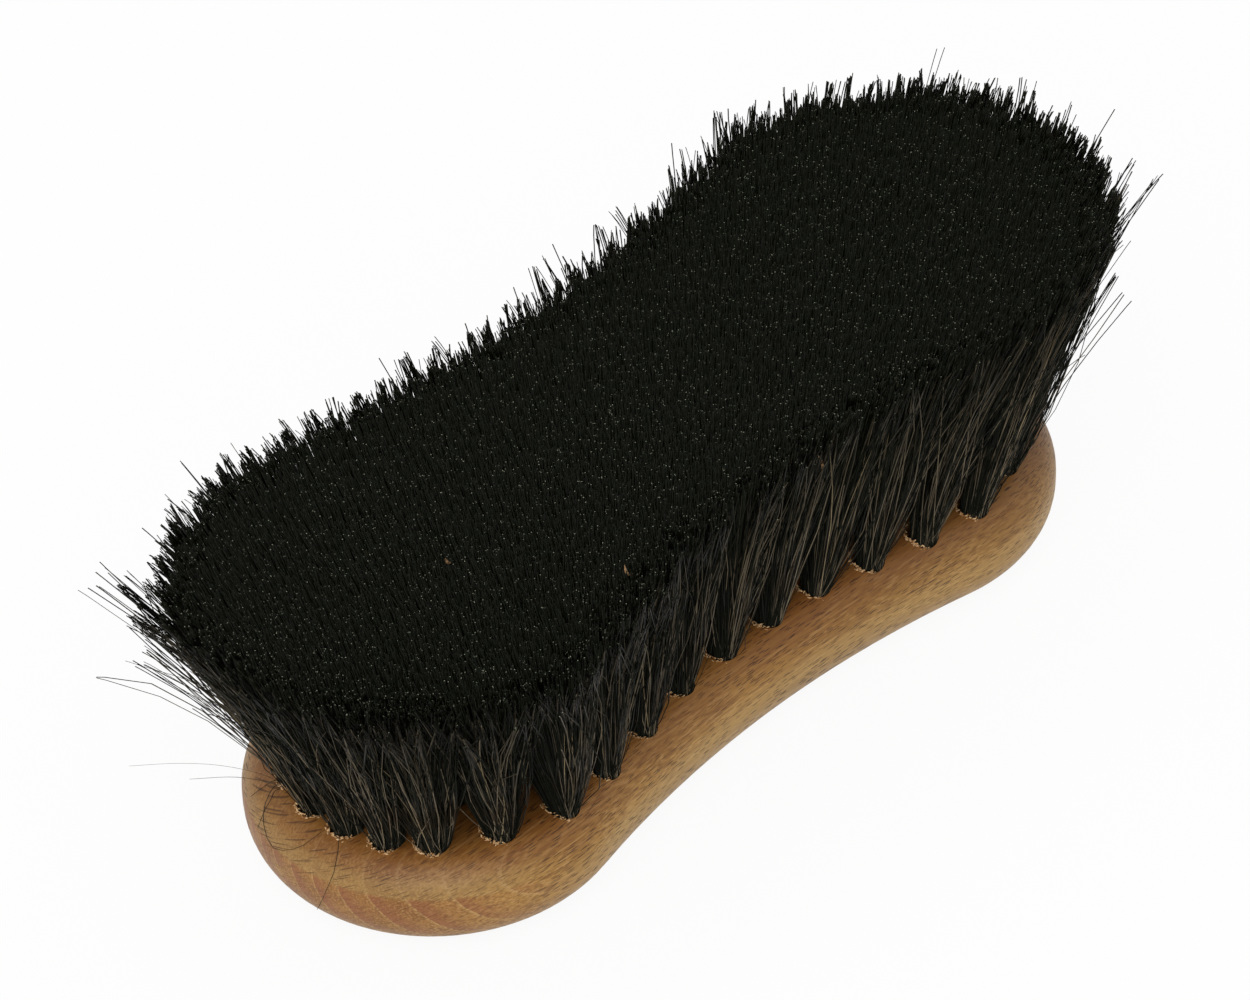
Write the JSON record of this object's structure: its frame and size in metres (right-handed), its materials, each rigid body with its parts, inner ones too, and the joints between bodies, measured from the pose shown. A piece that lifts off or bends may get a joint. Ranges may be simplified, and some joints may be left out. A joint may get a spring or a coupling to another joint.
{
  "type": "shoe shine brush",
  "caption": "Shoe shine brush: a waisted wooden block with rolled edges and dark hair tufts that fan out to a flat trimmed face, each held by a wire anchor in a blind hole.",
  "frame": {"origin": "middle of the flat back of the block, on the surface that the brush lies on, hair up", "axes": "+X along the brush, +Y across it, +Z from the back of the block up to the tips of the hair"},
  "size_m": [0.1966, 0.0766, 0.0603],
  "materials": {
    "beech": "satin, lightly oiled",
    "hair": "black-brown hair, slight sheen",
    "anchor_wire": "drawn flat wire"
  },
  "bodies": {
    "root": {"wooden_block": "beech", "hair_left_end_outer": "hair", "hair_left_end_inner": "hair", "hair_row_01": "hair", "hair_row_02": "hair", "hair_row_03": "hair", "hair_row_04": "hair", "hair_row_05": "hair", "hair_row_06": "hair", "hair_row_07": "hair", "hair_row_08": "hair", "hair_row_09": "hair", "hair_row_10": "hair", "hair_row_11": "hair", "hair_row_12": "hair", "hair_right_end_inner": "hair", "hair_right_end_outer": "hair", "anchors_left_end_outer": "anchor_wire", "anchors_left_end_inner": "anchor_wire", "anchors_row_01": "anchor_wire", "anchors_row_02": "anchor_wire", "anchors_row_03": "anchor_wire", "anchors_row_04": "anchor_wire", "anchors_row_05": "anchor_wire", "anchors_row_06": "anchor_wire", "anchors_row_07": "anchor_wire", "anchors_row_08": "anchor_wire", "anchors_row_09": "anchor_wire", "anchors_row_10": "anchor_wire", "anchors_row_11": "anchor_wire", "anchors_row_12": "anchor_wire", "anchors_right_end_inner": "anchor_wire", "anchors_right_end_outer": "anchor_wire"}
  },
  "joints": []
}
